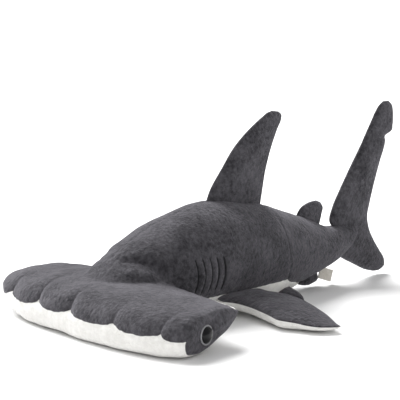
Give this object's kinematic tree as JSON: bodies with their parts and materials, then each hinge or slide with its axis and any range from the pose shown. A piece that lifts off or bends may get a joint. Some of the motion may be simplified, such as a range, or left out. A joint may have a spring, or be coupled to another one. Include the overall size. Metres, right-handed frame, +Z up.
{
  "type": "plush shark",
  "caption": "Stuffed hammerhead shark toy in grey and white short-pile plush, lying on its belly, with soft fins, a sewn hammer head and domed eyes.",
  "frame": {"origin": "on the flat rest patch of the belly, in the middle of the body's length and width", "axes": "+Y from the head to the tail, +Z up, +X to the shark's left side"},
  "size_m": [0.3114, 0.4185, 0.1848],
  "materials": {
    "grey_plush": "short-pile plush",
    "white_plush": "short-pile plush",
    "filling": "polyester fibre",
    "thread": "embroidery thread",
    "label": "satin ribbon",
    "eye": "polished",
    "eye_rim": "satin",
    "washer": "moulded"
  },
  "bodies": {
    "torso": {"flank_front_left": "grey_plush", "flank_front_right": "grey_plush", "flank_rear_left": "grey_plush", "flank_rear_right": "grey_plush", "belly_front": "white_plush", "belly_rear": "white_plush", "torso_stuffing": "filling", "gill_stitching_left": "thread", "gill_stitching_right": "thread", "care_label": "label"},
    "head": {"head_top": "grey_plush", "head_underside": "white_plush", "head_stuffing": "filling", "end_cap_left": "grey_plush", "end_cap_right": "grey_plush", "eye_left": "eye", "eye_right": "eye", "eye_ring_left": "eye_rim", "eye_ring_right": "eye_rim", "eye_washer_left": "washer", "eye_washer_right": "washer"},
    "tail": {"tail_stem_left": "grey_plush", "tail_stem_right": "grey_plush", "tail_stem_stuffing": "filling", "tail_fin_left": "grey_plush", "tail_fin_right": "grey_plush", "tail_fin_stuffing": "filling"},
    "dorsal_fin": {"dorsal_fin_left": "grey_plush", "dorsal_fin_right": "grey_plush", "dorsal_fin_stuffing": "filling"},
    "second_dorsal_fin": {"second_dorsal_fin_left": "grey_plush", "second_dorsal_fin_right": "grey_plush", "second_dorsal_fin_stuffing": "filling"},
    "anal_fin": {"anal_fin_left": "grey_plush", "anal_fin_right": "grey_plush", "anal_fin_stuffing": "filling"},
    "pectoral_fin_left": {"pectoral_fin_left_top": "grey_plush", "pectoral_fin_left_underside": "white_plush", "pectoral_fin_left_stuffing": "filling"},
    "pectoral_fin_right": {"pectoral_fin_right_top": "grey_plush", "pectoral_fin_right_underside": "white_plush", "pectoral_fin_right_stuffing": "filling"},
    "pelvic_fin_left": {"pelvic_fin_left_top": "grey_plush", "pelvic_fin_left_underside": "white_plush", "pelvic_fin_left_stuffing": "filling"},
    "pelvic_fin_right": {"pelvic_fin_right_top": "grey_plush", "pelvic_fin_right_underside": "white_plush", "pelvic_fin_right_stuffing": "filling"}
  },
  "joints": [
    {"name": "head_nod", "type": "hinge", "parent": "torso", "child": "head", "pos_m": [0, -0.118, 0.0415], "axis": [1, 0, 0], "range_deg": [-15, 8], "stiffness_Nm_per_rad": 2},
    {"name": "tail_swing", "type": "hinge", "parent": "torso", "child": "tail", "pos_m": [0, 0.152, 0.04], "axis": [0, 0, 1], "range_deg": [-25, 25], "stiffness_Nm_per_rad": 1},
    {"name": "dorsal_fin_flop", "type": "hinge", "parent": "torso", "child": "dorsal_fin", "pos_m": [0, 0.018, 0.101], "axis": [0, 0.9893, -0.1461], "range_deg": [-18, 18], "stiffness_Nm_per_rad": 0.4},
    {"name": "second_dorsal_fin_flop", "type": "hinge", "parent": "torso", "child": "second_dorsal_fin", "pos_m": [0, 0.1185, 0.0708], "axis": [0, 0.9225, -0.3859], "range_deg": [-20, 20], "stiffness_Nm_per_rad": 0.05},
    {"name": "anal_fin_flop", "type": "hinge", "parent": "torso", "child": "anal_fin", "pos_m": [0, 0.1165, 0.0115], "axis": [0, 0.9724, 0.2334], "range_deg": [-20, 20], "stiffness_Nm_per_rad": 0.03},
    {"name": "pectoral_fin_left_flap", "type": "hinge", "parent": "torso", "child": "pectoral_fin_left", "pos_m": [0.043, -0.005, 0.0145], "axis": [0, -1, 0], "range_deg": [-15, 30], "stiffness_Nm_per_rad": 0.5},
    {"name": "pectoral_fin_right_flap", "type": "hinge", "parent": "torso", "child": "pectoral_fin_right", "pos_m": [-0.043, -0.005, 0.0145], "axis": [0, 1, 0], "range_deg": [-15, 30], "stiffness_Nm_per_rad": 0.5},
    {"name": "pelvic_fin_left_flap", "type": "hinge", "parent": "torso", "child": "pelvic_fin_left", "pos_m": [0.028, 0.057, 0.0085], "axis": [0, -1, 0], "range_deg": [-12, 12], "stiffness_Nm_per_rad": 0.05},
    {"name": "pelvic_fin_right_flap", "type": "hinge", "parent": "torso", "child": "pelvic_fin_right", "pos_m": [-0.028, 0.057, 0.0085], "axis": [0, 1, 0], "range_deg": [-12, 12], "stiffness_Nm_per_rad": 0.05}
  ]
}
